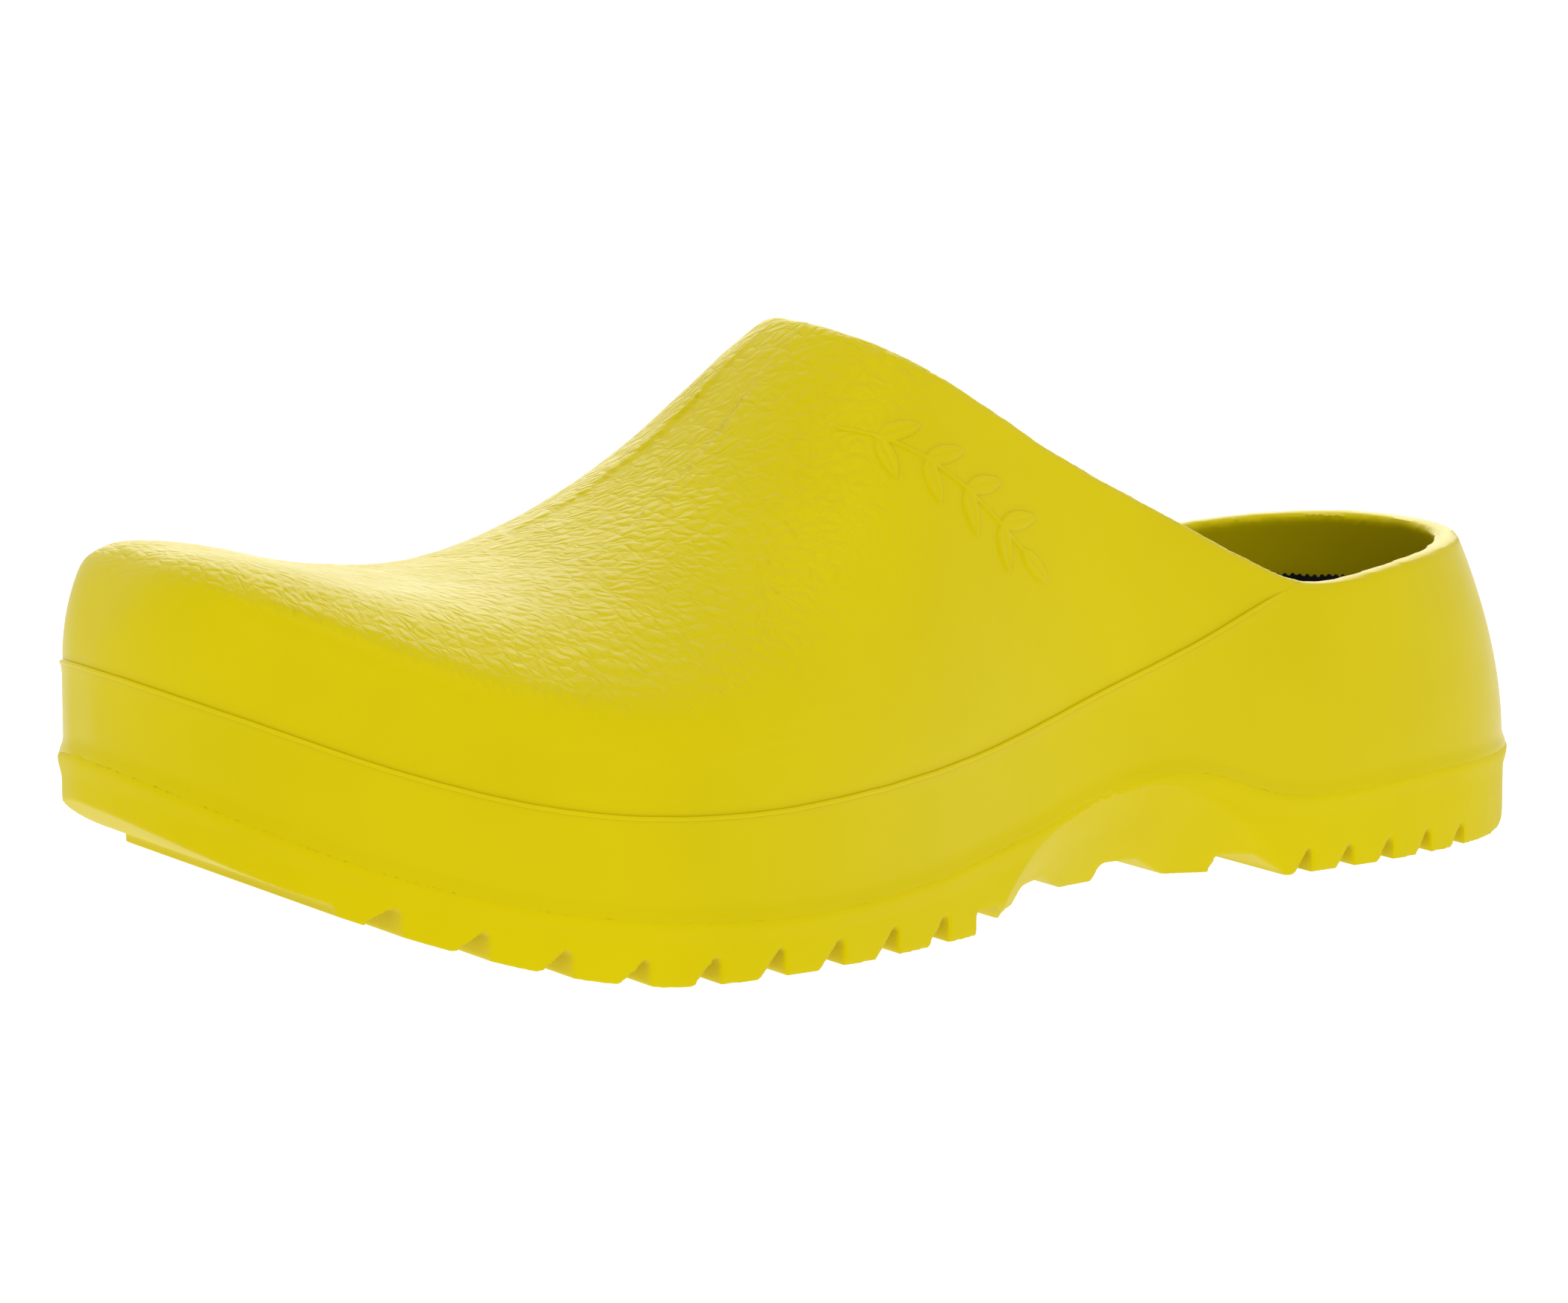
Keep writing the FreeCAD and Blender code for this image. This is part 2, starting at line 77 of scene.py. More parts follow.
def alone(piece):
    """Makes a piece the only one selected, and the active one."""
    bpy.ops.object.select_all(action="DESELECT")
    piece.select_set(True)
    bpy.context.view_layer.objects.active = piece


def copied(name, *node_names):
    """A loose copy of design nodes' meshes as one piece, with its doubled points merged."""
    copies = []
    for node in node_names:
        part = bpy.data.objects.new(name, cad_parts[node].data.copy())
        part.data.materials.clear()
        bpy.context.collection.objects.link(part)
        copies.append(part)
    alone(copies[0])
    for part in copies:
        part.select_set(True)
    bpy.ops.object.join()
    bpy.ops.object.mode_set(mode="EDIT")
    bpy.ops.mesh.select_all(action="SELECT")
    bpy.ops.mesh.remove_doubles(threshold=MERGE)
    bpy.ops.object.mode_set(mode="OBJECT")
    return copies[0]


def finish_with(piece, kind, **settings):
    """Adds one modifier to the piece, with its settings, and applies it."""
    alone(piece)
    step = piece.modifiers.new(kind.lower(), kind)
    for setting, value in settings.items():
        setattr(step, setting, value)
    bpy.ops.object.modifier_apply(modifier=step.name)


def even_skin(piece, grid, rounding):
    """An even mesh over the piece. Rounding is how many times its points are drawn together."""
    finish_with(piece, "REMESH", mode="VOXEL", voxel_size=grid)
    finish_with(piece, "SMOOTH", factor=0.5, iterations=rounding)
    piece.data.shade_smooth()


def surface_of(node):
    """A search tree over a design node's surface, which tells how far a point is from it."""
    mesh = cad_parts[node].data
    return BVHTree.FromPolygons([p.co for p in mesh.vertices], [f.vertices for f in mesh.polygons])


def parting_line(upper, lower):
    """(along, height) points of the line between two moulded areas, as seen from the side."""
    tree = surface_of(lower)
    shared = {}
    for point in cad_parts[upper].data.vertices:
        if tree.find_nearest(point.co, 0.01 * MM)[0] is not None:
            shared.setdefault(round(point.co.y / MM), []).append((point.co.y, point.co.z))
    return sorted((sum(y for y, z in spot) / len(spot), sum(z for y, z in spot) / len(spot))
                  for spot in shared.values())


def height_on(line, along):
    """Height of a parting line at a place along the clog, eased over its corners."""
    total = 0
    for nudge in (-2 * MM, 0, 2 * MM):
        y = along + nudge
        k = max(1, min(len(line) - 1, bisect.bisect(line, (y,))))
        (y0, z0), (y1, z1) = line[k - 1], line[k]
        total += z0 + (z1 - z0) * (y - y0) / (y1 - y0)
    return total / 3


def faces_out(place, normal):
    """Whether a point lies on the clog's outside, and not on the wall round the foot."""
    out = Vector((place.x, place.y - max(-END_CENTRE, min(END_CENTRE, place.y)), 0))
    return normal.x * out.x + normal.y * out.y > 0.1 * out.length


sole_line = parting_line("side_wall", "outsole")
bead_line = parting_line("vamp_upper", "side_wall")
NOTCH_PLACE = bead_line[-1][0]
# Marks on the parted mesh: whether a point is outside, and which cut it lies on.
OUTSIDE = "outside"
CUT = "cut"


def over_sole(place, outside):
    """How far a point is above the wall's foot, which is higher on the inside."""
    return place.z - height_on(sole_line, place.y) + (WALL_FOOT if outside else -INNER_RISE)


def over_bead(place, outside):
    """How far a point is above the bead line, on both sides. The vamp ends where it meets the rim."""
    return min(place.z - height_on(bead_line, place.y), NOTCH_PLACE - place.y)


def parted(name, *cuts):
    """A copy of the blank cut along parting lines. A cut is (how far over the line, +1 or -1)."""
    piece = bpy.data.objects.new(name, blank.data.copy())
    bpy.context.collection.objects.link(piece)
    mesh = bmesh.new()
    mesh.from_mesh(piece.data)
    outside = mesh.verts.layers.int.new(OUTSIDE)
    cut = mesh.verts.layers.int.new(CUT)
    for point in mesh.verts:
        point[outside] = int(faces_out(point.co, point.normal))
    for number, (over, side) in enumerate(cuts, start=1):
        gap = {}
        for point in mesh.verts:
            gap[point] = over(point.co, point[outside]) * side
            if abs(gap[point]) < SNAP:
                gap[point] = 0.0
        crossing = [e for e in mesh.edges if gap[e.verts[0]] * gap[e.verts[1]] < 0]
        for edge in crossing:
            start, end = edge.verts
            share = gap[start] / (gap[start] - gap[end])
            point = bmesh.utils.edge_split(edge, start, share)[1]
            point[outside] = start[outside]
            gap[point] = 0.0
        edge_points = [p for p in mesh.verts if gap[p] == 0.0]
        for point in edge_points:
            point[cut] = number
        bmesh.ops.connect_verts(mesh, verts=edge_points)
        spare = [f for f in mesh.faces if min(gap[p] for p in f.verts) < 0]
        bmesh.ops.delete(mesh, geom=spare, context="FACES")
    mesh.to_mesh(piece.data)
    mesh.free()
    return piece


def weigh(piece, group, rule):
    """A vertex group whose weight at each point is what the rule says of its place and normal."""
    marks = piece.vertex_groups.new(name=group)
    for point in piece.data.vertices:
        share = rule(point.co, point.normal)
        if share > 0:
            marks.add([point.index], min(share, 1), "REPLACE")


def push(piece, group, height):
    """Moves the piece's points out along their normals, each by its weight in the group."""
    finish_with(piece, "DISPLACE", strength=height, mid_level=0, vertex_group=group)
    piece.vertex_groups.clear()


def from_line(line, place, normal):
    """Distance along the surface from a parting line, positive above it."""
    slope = (height_on(line, place.y + MM) - height_on(line, place.y - MM)) / (2 * MM)
    rise = Vector((0, -slope, 1))
    along = rise - normal * rise.dot(normal)
    return (place.z - height_on(line, place.y)) / max(along.length, 0.2)


def capped(piece, cuts):
    """Closes a parted piece by bridging each cut's outer edge to its inner edge, through the wall."""
    alone(piece)
    bpy.ops.object.mode_set(mode="EDIT")
    bpy.ops.mesh.select_mode(type="EDGE")
    for number in range(1, cuts + 1):
        bpy.ops.mesh.select_all(action="DESELECT")
        mesh = bmesh.from_edit_mesh(piece.data)
        outside = mesh.verts.layers.int[OUTSIDE]
        cut = mesh.verts.layers.int[CUT]
        for edge in mesh.edges:
            a, b = edge.verts
            on_cut = edge.is_boundary and a[cut] == number and b[cut] == number
            edge.select_set(on_cut and a[outside] == b[outside])
        bmesh.update_edit_mesh(piece.data)
        bpy.ops.mesh.bridge_edge_loops()
    bpy.ops.mesh.select_all(action="SELECT")
    bpy.ops.mesh.fill_holes(sides=0)
    bpy.ops.mesh.normals_make_consistent(inside=False)
    bpy.ops.object.mode_set(mode="OBJECT")
    bpy.ops.object.shade_smooth_by_angle(angle=CRISP)


def eased(value, low, high):
    """0 at low, 1 at high, and a soft step between."""
    t = max(0.0, min(1.0, (value - low) / (high - low)))
    return t * t * (3 - 2 * t)


blank = copied("blank", "outsole", "side_wall", "vamp_upper")
even_skin(blank, FINE_GRID, rounding=16)
even_skin(blank, GRID, rounding=1)


# --- Sole ---------------------------------------------------------------------------------------
# The bottom of the clog, with the tread moulded in and open at both sides. Its upper edge stands
# out as a soft ledge, under a fine nick where it meets the wall.

SOLE_GRID = 0.5 * MM
SOLE_FACES = 190000
LEDGE = 0.60 * MM
LEDGE_REACH = 4.5 * MM
NICK = 0.9 * MM
VENT_COLOUR = (0.30, 0.22, 0.01, 1)


def ledge(place, normal):
    """Nothing in the nick on the sole line, most just under it, and nothing again further down."""
    if not faces_out(place, normal) or normal.z < -0.5:
        return 0
    gap = -from_line(sole_line, place, normal)
    return (0.5 + 0.5 * eased(gap, 0, NICK)) * (1 - eased(gap, NICK, LEDGE_REACH))


def wired(material, kind, **inputs):
    """A shader node with its inputs set: a tuple is a colour or vector, a socket is linked."""
    node = material.node_tree.nodes.new(kind)
    for name, value in inputs.items():
        socket = node.inputs[name.replace("_", " ")]
        if isinstance(value, bpy.types.NodeSocket):
            material.node_tree.links.new(value, socket)
        else:
            socket.default_value = value
    return node


def ranged(material, value, low, high, to_low=0.0, to_high=1.0):
    """A value's range spread over another, held at both ends."""
    node = wired(material, "ShaderNodeMapRange", Value=value, From_Min=low, From_Max=high)
    node.inputs["To Min"].default_value = to_low
    node.inputs["To Max"].default_value = to_high
    return node.outputs["Result"]


def mixed(material, share, first, second):
    """Two colours mixed by a share. Either may be a socket."""
    node = material.node_tree.nodes.new("ShaderNodeMix")
    node.data_type = "RGBA"
    material.node_tree.links.new(share, node.inputs["Factor"])
    for socket, colour in ((node.inputs[6], first), (node.inputs[7], second)):
        if isinstance(colour, bpy.types.NodeSocket):
            material.node_tree.links.new(colour, socket)
        else:
            socket.default_value = colour
    return node.outputs[2]


def worked(material, operation, first, second):
    """One sum of two values. Either may be a socket."""
    node = material.node_tree.nodes.new("ShaderNodeMath")
    node.operation = operation
    for socket, value in zip(node.inputs, (first, second)):
        if isinstance(value, bpy.types.NodeSocket):
            material.node_tree.links.new(value, socket)
        else:
            socket.default_value = value
    return node.outputs["Value"]


def foam(name, colour, shade, roughness, gloss=0.5):
    """Moulded yellow foam skin: its colour drifts a little, with fine pores and rare dark vents."""
    material = bpy.data.materials.new(name)
    material.use_nodes = True
    links = material.node_tree.links
    shader = material.node_tree.nodes["Principled BSDF"]
    shader.inputs["IOR"].default_value = 1.45
    shader.inputs["Specular IOR Level"].default_value = gloss
    shader.inputs["Specular Tint"].default_value = (1, 0.9, 0.1, 1)
    places = wired(material, "ShaderNodeTexCoord").outputs["Object"]

    drift = wired(material, "ShaderNodeTexNoise", Vector=places, Scale=22.0, Detail=3.0)
    body = mixed(material, ranged(material, drift.outputs["Fac"], 0.35, 0.75), colour, shade)
    vents = wired(material, "ShaderNodeTexVoronoi", Vector=places, Scale=48.0)
    clear = ranged(material, vents.outputs["Distance"], 0.006, 0.012)
    links.new(mixed(material, clear, VENT_COLOUR, body), shader.inputs["Base Color"])

    patch = wired(material, "ShaderNodeTexNoise", Vector=places, Scale=90.0, Detail=4.0)
    polish = ranged(material, patch.outputs["Fac"], 0.2, 0.8, roughness - 0.05, roughness + 0.06)
    links.new(polish, shader.inputs["Roughness"])

    pores = wired(material, "ShaderNodeTexNoise", Vector=places, Scale=1300.0, Detail=2.0)
    skin = wired(material, "ShaderNodeBump", Height=pores.outputs["Fac"], Strength=0.12)
    skin.inputs["Distance"].default_value = 0.05 * MM
    links.new(skin.outputs["Normal"], shader.inputs["Normal"])
    return material


def thinned(piece, faces):
    """Fewer triangles, with the flat parts of the piece losing most of them."""
    finish_with(piece, "TRIANGULATE")
    if len(piece.data.polygons) > faces:
        finish_with(piece, "DECIMATE", ratio=faces / len(piece.data.polygons))
    bpy.ops.object.shade_smooth_by_angle(angle=CRISP)


sole = copied("tread_sole", "outsole")
even_skin(sole, SOLE_GRID, rounding=2)
weigh(sole, "ledge", ledge)
push(sole, "ledge", LEDGE)
thinned(sole, SOLE_FACES)
sole.data.materials.append(
    foam("sole_foam", (0.66, 0.54, 0.001, 1), (0.62, 0.50, 0.001, 1), roughness=0.55, gloss=0.25))
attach(sole, "shell")
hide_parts("outsole")


# --- Side wall ----------------------------------------------------------------------------------
# The smooth band between the sole and the bead, with the closed heel counter and its rounded rim.
# Its foot turns out to the sole, and its top edge stands a little proud of the vamp's foot.

FLARE = 0.45 * MM
FLARE_REACH = 2.8 * MM
LIP = 0.22 * MM
LIP_REACH = 2.0 * MM
# The bead is gone at the first of these from the notch, and full at the second.
BEAD_FADE = (1 * MM, 9 * MM)
WALL_COLOUR = (0.64, 0.525, 0.001, 1)
WALL_SHADE = (0.60, 0.485, 0.001, 1)


def bead_strength(place):
    """The bead and its groove run full round the toe and die away towards the notch."""
    return eased(NOTCH_PLACE - place.y, *BEAD_FADE)


def flare(place, normal):
    """The foot of the wall turns out towards the sole's ledge."""
    if not faces_out(place, normal):
        return 0
    return (1 - eased(from_line(sole_line, place, normal), 0, FLARE_REACH)) ** 2


def lip(place, normal):
    """The wall's top edge stands proud under the bead."""
    if not faces_out(place, normal) or place.y > NOTCH_PLACE:
        return 0
    gap = -from_line(bead_line, place, normal)
    return bead_strength(place) * (1 - eased(gap, 0, LIP_REACH)) if gap < LIP_REACH else 0


wall = parted("side_wall_skin", (over_sole, 1), (over_bead, -1))
weigh(wall, "flare", flare)
push(wall, "flare", FLARE)
weigh(wall, "lip", lip)
push(wall, "lip", LIP)
capped(wall, 2)
wall.data.materials.append(foam("wall_foam", WALL_COLOUR, WALL_SHADE, roughness=0.36))
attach(wall, "shell")
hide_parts("side_wall")


# --- Vamp ---------------------------------------------------------------------------------------
# The top and toe of the clog, moulded with a leather grain: long shallow wrinkles that fan out
# across the shoe and fade on the front of the toe, down the side and along the rim.

SHOULDER = 2.2 * MM
GRAIN_HEIGHT = 0.22 * MM
GROOVE = 0.14 * MM
GROOVE_REACH = 3.2 * MM
# The wrinkles are arcs about the fan's centre, which is off the inner side of the toe.
FAN_CENTRE = Vector((-0.150, -0.124, 0))
FAN_RADIUS = 0.175
# Length and width of the grain's swells and of its fine creases.
SWELL = (6.0 * MM, 3.6 * MM)
CREASE = (3.3 * MM, 1.9 * MM)
CREASE_DEPTH = 0.17 * MM


def shoulder(place, normal):
    """The vamp turns from its top to its sides over a fairly tight shoulder, back to the instep."""
    if not faces_out(place, normal) or normal.z < 0:
        return 0
    turn = math.exp(-((normal.z - 0.55) / 0.24) ** 2)
    return turn * eased(place.y, -0.134, -0.112) * (1 - eased(place.y, -0.060, 0.0))


def fanned(place):
    """Where a point is in the fan of wrinkles: along a wrinkle, and across the wrinkles."""
    arm = place - FAN_CENTRE
    return math.hypot(arm.x, arm.y), math.atan2(arm.y, arm.x) * FAN_RADIUS


def grain_share(place, normal):
    """How strong the grain is: full where the vamp faces up, faint on its sides and front."""
    if not faces_out(place, normal) and normal.z <= 0.2:
        return 0
    up = eased(normal.z, 0.35, 0.80)
    front = eased(place.y, -0.133, -0.124)
    return (0.10 + 0.90 * up) * (0.25 + 0.75 * front)


def swells(place, normal):
    """The larger pads of the grain, longer along the fan than across it."""
    along, across = fanned(place)
    sway = noise.noise(place / (8 * MM)) * 0.5
    seat = Vector((along / SWELL[0], across / SWELL[1] + sway, place.z / SWELL[0]))
    height = 0.55 + 0.45 * noise.noise(seat) - 0.5 * abs(noise.noise(seat * 2.1))
    return grain_share(place, normal) * max(0.0, height)


def groove(place, normal):
    """The vamp's foot sinks into a shallow groove over the bead."""
    if not faces_out(place, normal):
        return 0
    gap = from_line(bead_line, place, normal)
    return bead_strength(place) * max(0.0, 1 - gap / GROOVE_REACH) ** 2


vamp = parted("grained_vamp", (over_bead, 1))
weigh(vamp, "shoulder", shoulder)
push(vamp, "shoulder", SHOULDER)
weigh(vamp, "groove", groove)
push(vamp, "groove", -GROOVE)
shares = [grain_share(p.co, p.normal) for p in vamp.data.vertices]
vamp.data.attributes.new("grain", "FLOAT", "POINT").data.foreach_set("value", shares)
weigh(vamp, "swells", swells)
push(vamp, "swells", GRAIN_HEIGHT)
capped(vamp, 1)


def grained_foam():
    """Foam skin with the fine creases of the grain, as strong as the vamp's "grain" attribute."""
    material = foam("vamp_foam", WALL_COLOUR, WALL_SHADE, roughness=0.40)
    nodes = material.node_tree.nodes
    links = material.node_tree.links
    places = nodes["Texture Coordinate"].outputs["Object"]
    sway = wired(material, "ShaderNodeTexNoise", Vector=places, Scale=190.0, Detail=2.0)
    split = wired(material, "ShaderNodeSeparateXYZ", Vector=places)
    arm_x = worked(material, "SUBTRACT", split.outputs["X"], FAN_CENTRE.x)
    arm_y = worked(material, "SUBTRACT", split.outputs["Y"], FAN_CENTRE.y)
    turn = worked(material, "ARCTAN2", arm_y, arm_x)
    square = worked(material, "ADD", worked(material, "POWER", arm_x, 2),
                    worked(material, "POWER", arm_y, 2))
    along = worked(material, "DIVIDE", worked(material, "SQRT", square, 0), CREASE[0])
    across = worked(material, "MULTIPLY", turn, FAN_RADIUS / CREASE[1])
    across = worked(material, "ADD", across, worked(material, "MULTIPLY", sway.outputs["Fac"], 2.2))
    down = worked(material, "DIVIDE", split.outputs["Z"], CREASE[0])
    seat = wired(material, "ShaderNodeCombineXYZ", X=along, Y=across, Z=down).outputs["Vector"]
    cells = wired(material, "ShaderNodeTexVoronoi", Vector=seat, Scale=1.0)
    cells.feature = "DISTANCE_TO_EDGE"
    pads = ranged(material, cells.outputs["Distance"], 0.0, 0.35)
    threads = wired(material, "ShaderNodeTexNoise", Vector=seat, Scale=1.1, Detail=3.0).outputs["Fac"]
    relief = worked(material, "ADD", pads, worked(material, "MULTIPLY", threads, 1.2))
    strength = wired(material, "ShaderNodeAttribute")
    strength.attribute_name = "grain"
    grain = wired(material, "ShaderNodeBump", Height=relief, Strength=strength.outputs["Fac"])
    grain.inputs["Distance"].default_value = CREASE_DEPTH
    links.new(nodes["Bump"].outputs["Normal"], grain.inputs["Normal"])
    links.new(grain.outputs["Normal"], nodes["Principled BSDF"].inputs["Normal"])
    return material


vamp.data.materials.append(grained_foam())
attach(vamp, "shell")
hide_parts("vamp_upper")
bpy.data.objects.remove(blank)


# --- Bead ---------------------------------------------------------------------------------------
# A thin raised bead moulded round the clog where the vamp meets the side wall. It is round, runs
# on the wall's top edge, and thins away before the rim at each side.

BEAD_RADIUS = 0.42 * MM
BEAD_SINK = 0.16 * MM
BEAD_STEP = 1.5 * MM
# The wall's second cut is the one along the bead line.
BEAD_CUT = 2


def bead_path():
    """Evenly spaced points along the top edge of the wall's outside, from notch to notch."""
    mesh = bmesh.new()
    mesh.from_mesh(wall.data)
    outside = mesh.verts.layers.int[OUTSIDE]
    cut = mesh.verts.layers.int[CUT]
    edge = [p for p in mesh.verts if p[cut] == BEAD_CUT and p[outside]]
    edge.sort(key=lambda p: math.atan2(p.co.x, -(p.co.y - NOTCH_PLACE)))
    points = []
    gathered = []
    for point in edge:
        gathered.append(point)
        if (point.co - gathered[0].co).length > BEAD_STEP:
            place = sum((p.co for p in gathered), Vector()) / len(gathered)
            outward = sum((p.normal for p in gathered), Vector()).normalized()
            outward = (outward - Vector((0, 0, outward.z))).normalized()
            points.append(place - outward * BEAD_SINK)
            gathered = []
    mesh.free()
    return points


path = bead_path()
bead_curve = bpy.data.curves.new("bead_curve", "CURVE")
bead_curve.dimensions = "3D"
bead_curve.bevel_depth = BEAD_RADIUS
bead_curve.bevel_resolution = 3
bead_curve.resolution_u = 4
bead_curve.use_fill_caps = True
spline = bead_curve.splines.new("NURBS")
spline.points.add(len(path) - 1)
for point, place in zip(spline.points, path):
    point.co = (*place, 1)
    point.radius = 0.05 + 0.95 * bead_strength(place)
spline.order_u = 4
spline.use_endpoint_u = True
bead = bpy.data.objects.new("bead", bead_curve)
bpy.context.collection.objects.link(bead)
alone(bead)
bpy.ops.object.convert(target="MESH")
bead = bpy.context.object
bpy.ops.object.shade_smooth()
bead.data.materials.append(
    foam("bead_foam", (0.66, 0.545, 0.001, 1), (0.62, 0.505, 0.001, 1), roughness=0.34))
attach(bead, "shell")


# --- Leaf mark ----------------------------------------------------------------------------------
# A plain leaf sprig, raised a little on the outer side of the vamp under the rim. It is part of
# the moulding: a patch that follows the vamp, with only the stem and leaves standing above it.

MARK_SIZE = (52 * MM, 20 * MM)
MARK_GRID = 0.28 * MM
# The patch lies this far under the vamp's surface, and the sprig stands this far above the patch.
MARK_SINK = 0.35 * MM
MARK_RISE = 0.80 * MM
MARK_DEPTH = 0.8 * MM
MARK_PLACE = Vector((0.0295, -0.0015, 0.0725))
MARK_ALONG = Vector((0.25, 0.75, -0.62))
LEAF_PAIRS = 4
LEAF = (8.6 * MM, 3.6 * MM)
LEAF_TURN = math.radians(48)
STEM = 0.6 * MM
STEM_LENGTH = 0.72 * MARK_SIZE[0]
STEM_BOW = 1.6 * MM


def leaf_height(u, v, root, lean):
    """Height of one leaf at a place on the patch: a pointed oval with a vein along its middle."""
    along = (u - root[0]) * math.cos(lean) + (v - root[1]) * math.sin(lean)
    across = abs((v - root[1]) * math.cos(lean) - (u - root[0]) * math.sin(lean))
    share = along / LEAF[0]
    if not 0 < share < 1:
        return 0
    edge = LEAF[1] / 2 * math.sin(math.pi * share ** 0.8) ** 0.75
    vein = 0.25 * (1 - eased(across, 0.1 * MM, 0.35 * MM))
    return max(0.0, eased(edge - across, -0.1 * MM, 0.35 * MM) - vein)


def stem_bow(u):
    """How far the stem bows up at a place along it."""
    return STEM_BOW * math.sin(math.pi * (u / STEM_LENGTH + 0.5))


def sprig_height(u, v):
    """Height of the sprig: a stem with a gentle bow, pairs of leaves, and one leaf at its end."""
    height = 0
    if abs(u) < STEM_LENGTH / 2:
        height = eased(STEM - abs(v - stem_bow(u)), 0, 0.3 * MM) * 0.9
    for k in range(LEAF_PAIRS):
        root = -STEM_LENGTH / 2 + STEM_LENGTH * (k + 0.7) / (LEAF_PAIRS + 0.4)
        for side in (-1, 1):
            height = max(height, leaf_height(u, v, (root, stem_bow(root)), side * LEAF_TURN))
    end = (STEM_LENGTH / 2 - 0.5 * MM, 0)
    return max(height, leaf_height(u, v, end, math.radians(-6)))


bpy.ops.object.select_all(action="DESELECT")
bpy.ops.mesh.primitive_grid_add(
    size=1,
    x_subdivisions=round(MARK_SIZE[0] / MARK_GRID),
    y_subdivisions=round(MARK_SIZE[1] / MARK_GRID),
)
mark = bpy.context.object
mark.name = "leaf_mark"
tree = BVHTree.FromObject(vamp, bpy.context.evaluated_depsgraph_get())
seat, facing = tree.find_nearest(MARK_PLACE)[:2]
down_rim = (MARK_ALONG - facing * MARK_ALONG.dot(facing)).normalized()
up_rim = facing.cross(down_rim)
for point in mark.data.vertices:
    u, v = point.co.x * MARK_SIZE[0], point.co.y * MARK_SIZE[1]
    place = seat + down_rim * u + up_rim * v
    hit, normal = tree.ray_cast(place + facing * 20 * MM, -facing)[:2]
    from_edge = 1 - 2 * max(abs(point.co.x), abs(point.co.y))
    lift = MARK_RISE * sprig_height(u, v) * eased(from_edge, 0, 0.05)
    point.co = hit + facing * (lift - MARK_SINK)
finish_with(mark, "SMOOTH", factor=0.5, iterations=2)
finish_with(mark, "SOLIDIFY", thickness=MARK_DEPTH, offset=-1)
mark.data.shade_smooth()
mark.data.materials.append(foam("mark_foam", WALL_COLOUR, WALL_SHADE, roughness=0.38))
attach(mark, "shell")


# --- Footbed underside --------------------------------------------------------------------------
# Coarse woven jute glued under the cork, which grips the moulded floor. The footbed is a loose
# insert: its four layers move together when it is lifted out.

# Both jutes are cut to one outline. This is the mesh spacing of both jutes and of the lining.
CLOTH_GRID = 0.7 * MM


def layer(node, name, grid, rounding):
    """One layer of the footbed as its own even piece, made from a copy of its design node."""
    piece = copied(name, node)
    even_skin(piece, grid, rounding)
    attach(piece, "footbed")
    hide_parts(node)
    return piece


def woven(name, thread, colour, shade, gap_colour):
    """Plain-woven jute: flat uneven threads over and under each other, with loose fibres."""
    material = bpy.data.materials.new(name)
    material.use_nodes = True
    links = material.node_tree.links
    shader = material.node_tree.nodes["Principled BSDF"]
    shader.inputs["Roughness"].default_value = 0.9
    shader.inputs["Specular IOR Level"].default_value = 0.2
    shader.inputs["Sheen Weight"].default_value = 0.15
    places = wired(material, "ShaderNodeTexCoord").outputs["Object"]
    wander = wired(material, "ShaderNodeTexNoise", Vector=places, Scale=260.0, Detail=2.0)
    split = wired(material, "ShaderNodeSeparateXYZ", Vector=places)
    sway = worked(material, "MULTIPLY", wander.outputs["Fac"], 1.4)
    turn = math.pi / thread
    warp = worked(material, "ADD", worked(material, "MULTIPLY", split.outputs["X"], turn), sway)
    weft = worked(material, "ADD", worked(material, "MULTIPLY", split.outputs["Y"], turn), sway)
    over = worked(material, "MULTIPLY", worked(material, "SINE", warp, 0),
                  worked(material, "SINE", weft, 0))
    height = ranged(material, over, -0.9, 0.9)
    fibre = wired(material, "ShaderNodeTexNoise", Vector=places, Scale=2400.0, Detail=3.0)
    threads = mixed(material, fibre.outputs["Fac"], colour, shade)
    holes = ranged(material, worked(material, "ABSOLUTE", over, 0), 0.0, 0.28)
    links.new(mixed(material, holes, gap_colour, threads), shader.inputs["Base Color"])
    relief = worked(material, "ADD", worked(material, "ADD", height, holes),
                    worked(material, "MULTIPLY", fibre.outputs["Fac"], 0.5))
    bump = wired(material, "ShaderNodeBump", Height=relief, Strength=0.8)
    bump.inputs["Distance"].default_value = 0.35 * MM
    links.new(bump.outputs["Normal"], shader.inputs["Normal"])
    return material


base_jute = layer("footbed_bottom_jute", "coarse_jute_base", CLOTH_GRID, rounding=2)
base_jute.data.materials.append(woven(
    "coarse_jute_weave", thread=1.7 * MM,
    colour=(0.40, 0.27, 0.13, 1), shade=(0.26, 0.17, 0.08, 1), gap_colour=(0.10, 0.06, 0.03, 1)))


# --- Footbed core -------------------------------------------------------------------------------
# Ground cork bound with latex, pressed hot into a deep heel cup and an arch. Its cut sides show
# the grains, with a few torn out.

CORK_ROUGHNESS = 0.22 * MM


def grains(place, normal):
    """Uneven cork grains standing out of the latex."""
    seat = place / (2.4 * MM)
    return max(0.0, 0.5 + 0.6 * noise.noise(seat) - 0.4 * noise.cell(seat * 1.3))


